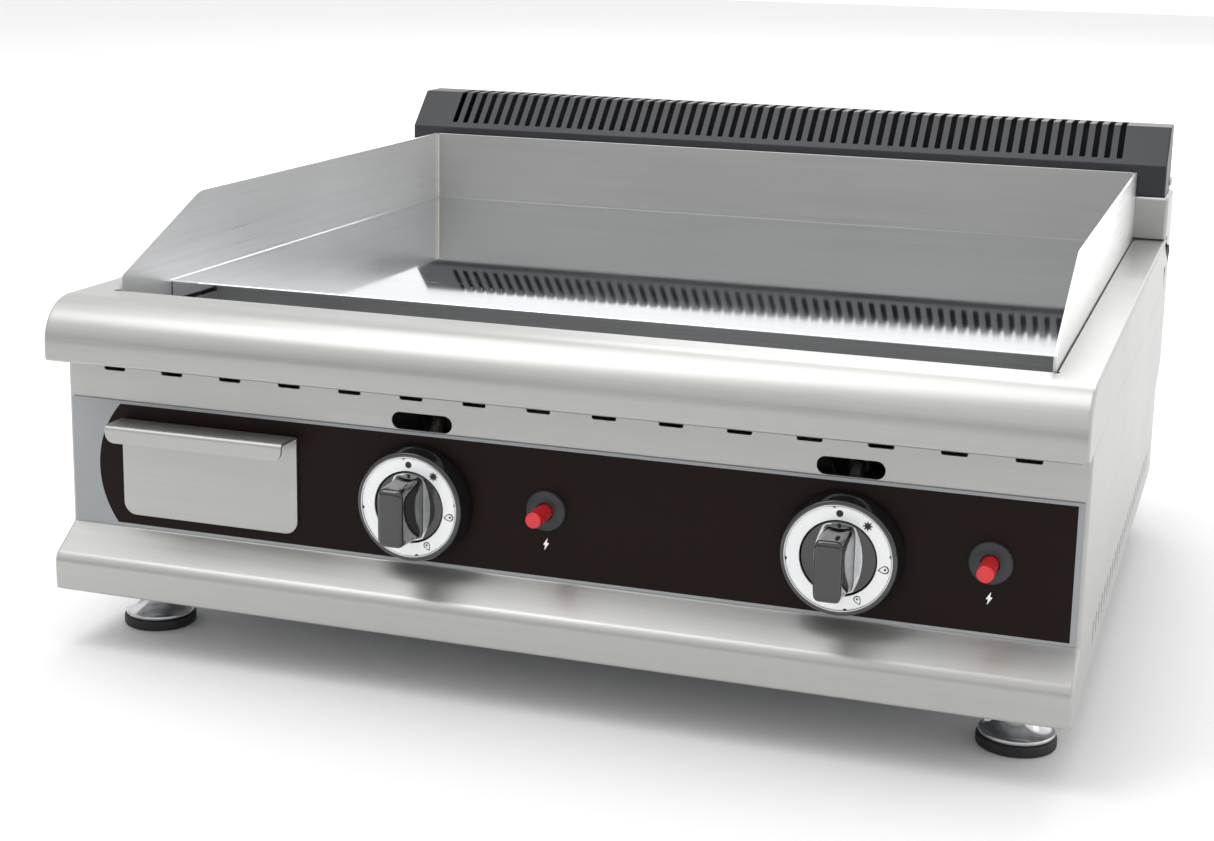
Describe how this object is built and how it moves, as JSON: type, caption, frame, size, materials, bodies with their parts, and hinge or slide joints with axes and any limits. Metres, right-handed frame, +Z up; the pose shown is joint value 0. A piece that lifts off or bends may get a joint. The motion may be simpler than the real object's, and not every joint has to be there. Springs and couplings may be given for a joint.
{
  "type": "flat top griddle",
  "caption": "Counter-top gas griddle with a polished plate, rear flue cap, push-and-turn knobs, spark buttons, grease drawer and screw feet.",
  "frame": {"origin": "middle of the outline on the floor, under the four feet", "axes": "+X to the cook's right, +Y back towards the flue, +Z up; the controls face -Y"},
  "size_m": [0.6, 0.592, 0.2933],
  "materials": {
    "stainless": "satin brushed stainless sheet",
    "polished": "mirror-polished cooking plate",
    "galvanised": "galvanised sheet",
    "anthracite": "matt anthracite powder coat",
    "overlay": "printed film, dark brown with a grey border",
    "gloss_black": "glossy black plastic",
    "dial": "white printed dial ring",
    "red": "glossy red plastic",
    "black_plastic": "satin black plastic",
    "brass": "machined brass",
    "steel": "plain steel",
    "burner_steel": "heat-tinted burner tube",
    "chrome": "chrome plate",
    "rubber": "black rubber",
    "ceramic": "glazed ceramic sleeve"
  },
  "bodies": {
    "cabinet": {"top_deck": "stainless", "front_panel": "stainless", "side_panel_left": "stainless", "side_panel_right": "stainless", "splash_guard_left": "stainless", "splash_guard_right": "stainless", "splash_guard_rear": "stainless", "grease_trough": "stainless", "drain_spout": "stainless", "flue_duct": "stainless", "griddle_plate": "polished", "base_pan": "galvanised", "rear_panel": "galvanised", "drawer_runner_left": "galvanised", "drawer_runner_right": "galvanised", "burner_tray": "galvanised", "flue_cap": "anthracite", "control_overlay": "overlay", "knob_bezel_left": "gloss_black", "dial_ring_left": "dial", "valve_body_left": "brass", "igniter_body_left": "black_plastic", "igniter_nut_left": "black_plastic", "injector_pipe_left": "brass", "burner_left": "burner_steel", "pilot_burner_left": "steel", "thermocouple_left": "steel", "spark_electrode_left": "ceramic", "knob_bezel_right": "gloss_black", "dial_ring_right": "dial", "valve_body_right": "brass", "igniter_body_right": "black_plastic", "igniter_nut_right": "black_plastic", "injector_pipe_right": "brass", "burner_right": "burner_steel", "pilot_burner_right": "steel", "thermocouple_right": "steel", "spark_electrode_right": "ceramic", "gas_rail": "steel", "supply_pipe": "steel", "gas_inlet": "brass"},
    "valve_plug_left": {"valve_plug_left": "brass"},
    "knob_left": {"knob_left": "gloss_black", "valve_spindle_left": "steel"},
    "igniter_button_left": {"igniter_button_left": "red"},
    "valve_plug_right": {"valve_plug_right": "brass"},
    "knob_right": {"knob_right": "gloss_black", "valve_spindle_right": "steel"},
    "igniter_button_right": {"igniter_button_right": "red"},
    "grease_drawer": {"grease_drawer_front": "stainless", "grease_drawer_tray": "stainless"},
    "foot_front_left": {"foot_front_left_bell": "chrome", "foot_front_left_pad": "rubber"},
    "foot_front_right": {"foot_front_right_bell": "chrome", "foot_front_right_pad": "rubber"},
    "foot_rear_left": {"foot_rear_left_bell": "chrome", "foot_rear_left_pad": "rubber"},
    "foot_rear_right": {"foot_rear_right_bell": "chrome", "foot_rear_right_pad": "rubber"}
  },
  "joints": [
    {"name": "gas_valve_left_turn", "type": "hinge", "parent": "cabinet", "child": "valve_plug_left", "pos_m": [-0.072, -0.241, 0.1105], "axis": [0, 1, 0], "range_deg": [0, 155]},
    {"name": "knob_left_push", "type": "slide", "parent": "valve_plug_left", "child": "knob_left", "axis": [0, 1, 0], "range_m": [0, 0.004], "stiffness_N_per_m": 1500, "springref_m": -0.002},
    {"name": "gas_valve_right_turn", "type": "hinge", "parent": "cabinet", "child": "valve_plug_right", "pos_m": [0.174, -0.241, 0.1105], "axis": [0, 1, 0], "range_deg": [0, 155]},
    {"name": "knob_right_push", "type": "slide", "parent": "valve_plug_right", "child": "knob_right", "axis": [0, 1, 0], "range_m": [0, 0.004], "stiffness_N_per_m": 1500, "springref_m": -0.002},
    {"name": "igniter_left_press", "type": "slide", "parent": "cabinet", "child": "igniter_button_left", "axis": [0, 1, 0], "range_m": [0, 0.007], "stiffness_N_per_m": 900, "springref_m": -0.003},
    {"name": "igniter_right_press", "type": "slide", "parent": "cabinet", "child": "igniter_button_right", "axis": [0, 1, 0], "range_m": [0, 0.007], "stiffness_N_per_m": 900, "springref_m": -0.003},
    {"name": "grease_drawer_slide", "type": "slide", "parent": "cabinet", "child": "grease_drawer", "axis": [0, -1, 0], "range_m": [0, 0.27]},
    {"name": "foot_front_left_screw", "type": "slide", "parent": "cabinet", "child": "foot_front_left", "axis": [0, 0, -1], "range_m": [0, 0.01]},
    {"name": "foot_front_right_screw", "type": "slide", "parent": "cabinet", "child": "foot_front_right", "axis": [0, 0, -1], "range_m": [0, 0.01]},
    {"name": "foot_rear_left_screw", "type": "slide", "parent": "cabinet", "child": "foot_rear_left", "axis": [0, 0, -1], "range_m": [0, 0.01]},
    {"name": "foot_rear_right_screw", "type": "slide", "parent": "cabinet", "child": "foot_rear_right", "axis": [0, 0, -1], "range_m": [0, 0.01]}
  ]
}
